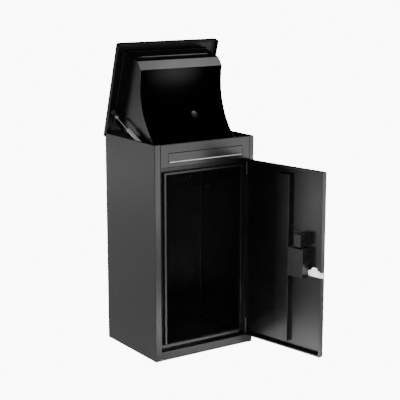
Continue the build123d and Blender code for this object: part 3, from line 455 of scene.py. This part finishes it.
class PARCELBOX_OT_studio(bpy.types.Operator):
    """Set up the pale floor, the soft lights and the camera"""

    bl_idname = "parcelbox.studio"
    bl_label = "Studio"

    def execute(self, context):
        studio = context.scene.parcelbox_studio
        scene = context.scene
        world = bpy.data.worlds.new("studio_room")
        scene.world = world
        world.use_nodes = True
        tree = world.node_tree
        tree.nodes.clear()
        # The room is a bright sweep to look at, and gives the box only a dim, even light.
        path = put(tree, "ShaderNodeLightPath")
        sweep = put(tree, "ShaderNodeBackground", Color=(1, 1, 1, 1), Strength=studio.backdrop)
        dim = put(tree, "ShaderNodeBackground", Color=(1, 1, 1, 1), Strength=studio.surround)
        parts = [(0, path.outputs["Is Camera Ray"]), (1, dim.outputs[0]), (2, sweep.outputs[0])]
        room = put(tree, "ShaderNodeMixShader", parts)
        put(tree, "ShaderNodeOutputWorld", [("Surface", room.outputs[0])])

        pale = bpy.data.materials.new("backlit_paper")
        pale.use_nodes = True
        tree = pale.node_tree
        tree.nodes.clear()
        path = put(tree, "ShaderNodeLightPath")
        paper = put(tree, "ShaderNodeBsdfDiffuse", Color=linear("#f4f4f4"))
        shown = put(tree, "ShaderNodeEmission", Strength=studio.backdrop)
        glow = put(tree, "ShaderNodeEmission", Strength=studio.floor_glow)
        lit = put(tree, "ShaderNodeAddShader", [(0, paper.outputs[0]), (1, glow.outputs[0])])
        parts = [(0, path.outputs["Is Camera Ray"]), (1, lit.outputs[0]), (2, shown.outputs[0])]
        seen = put(tree, "ShaderNodeMixShader", parts)
        put(tree, "ShaderNodeOutputMaterial", [("Surface", seen.outputs[0])])
        ground("floor", FLOOR_CORNERS, pale)
        # The floor glows, and would shine up through the anchor holes, so a dark patch covers it.
        shaded = bpy.data.materials.new("shaded_ground")
        shaded.use_nodes = True
        shaded.node_tree.nodes["Principled BSDF"].inputs["Base Color"].default_value = linear("#1a1a1a")
        ground("footprint", FOOTPRINT_CORNERS, shaded)

        def softbox(name, place, aim, size, power, spread=180):
            lamp = bpy.data.lights.new(name, "AREA")
            lamp.shape = "RECTANGLE"
            lamp.size, lamp.size_y = size
            lamp.energy = power
            lamp.color = LAMP_TINT
            lamp.spread = math.radians(spread)
            holder = bpy.data.objects.new(name, lamp)
            holder.location = place
            holder.rotation_euler = (Vector(aim) - Vector(place)).to_track_quat("-Z", "Y").to_euler()
            holder.visible_camera = False
            scene.collection.objects.link(holder)

        pool = studio.pool
        for lamp in (
            ("top_softbox", (1.7, -1.45, 3.3), (0, 0, 1.0), (1.2, 1.2), studio.key),
            ("low_softbox", (1.15, -1.75, 0.15), (0, 0, 0.5), (1.6, 1.0), studio.low),
            # the next three light only the floor, for the faces that mirror it
            ("pool_right", (0.1, -0.62, 0.75), (0.06, -0.55, 0), (0.3, 0.3), pool * 0.095, 80),
            ("pool_far_left", (-2.4, 0.7, 1.2), (-2.4, 0.7, 0), (0.6, 0.6), pool * 0.3, 90),
            ("pool_left", (-2.8, 3.7, 2.2), (-2.8, 3.7, 0), (1.6, 1.6), pool * 0.62, 120),
            ("camera_softbox", (-2.4, -3.4, 2.4), (0, 0, 0.6), (1.6, 1.6), studio.fill),
        ):
            softbox(*lamp)

        lens = bpy.data.cameras.new("camera")
        lens.lens = CAMERA_LENS
        camera = bpy.data.objects.new("camera", lens)
        azimuth, elevation = math.radians(CAMERA_AZIMUTH), math.radians(CAMERA_ELEVATION)
        back = Vector(
            (
                math.sin(azimuth) * math.cos(elevation),
                -math.cos(azimuth) * math.cos(elevation),
                math.sin(elevation),
            )
        )
        camera.location = CAMERA_PLACE
        camera.rotation_mode = "QUATERNION"
        camera.rotation_quaternion = (-back).to_track_quat("-Z", "Y")
        scene.collection.objects.link(camera)
        scene.camera = camera
        return {"FINISHED"}


class PARCELBOX_PT_panel(bpy.types.Panel):
    """Lists the steps that finish the box"""

    bl_idname = "PARCELBOX_PT_panel"
    bl_label = "Parcel box"
    bl_space_type = "VIEW_3D"
    bl_region_type = "UI"
    bl_category = "Parcel box"

    def draw(self, context):
        for group in ("parcelbox_finish", "parcelbox_detail", "parcelbox_studio"):
            settings = getattr(context.scene, group)
            for key in settings.__annotations__:
                self.layout.prop(settings, key)
        for step in OPERATORS:
            self.layout.operator(step.bl_idname)


SETTINGS = {
    "parcelbox_finish": FinishSettings,
    "parcelbox_detail": DetailSettings,
    "parcelbox_studio": StudioSettings,
}
OPERATORS = (
    PARCELBOX_OT_materials,
    PARCELBOX_OT_cabinet,
    PARCELBOX_OT_lid,
    PARCELBOX_OT_struts,
    PARCELBOX_OT_door,
    PARCELBOX_OT_studio,
)


def register():
    for name, group in SETTINGS.items():
        bpy.utils.register_class(group)
        setattr(bpy.types.Scene, name, bpy.props.PointerProperty(type=group))
    for item in (*OPERATORS, PARCELBOX_PT_panel):
        bpy.utils.register_class(item)


def unregister():
    for item in reversed((*OPERATORS, PARCELBOX_PT_panel)):
        bpy.utils.unregister_class(item)
    for name, group in SETTINGS.items():
        delattr(bpy.types.Scene, name)
        bpy.utils.unregister_class(group)


def main():
    register()
    for step in OPERATORS:
        group, name = step.bl_idname.split(".")
        getattr(getattr(bpy.ops, group), name)()


if __name__ == "__main__":
    main()
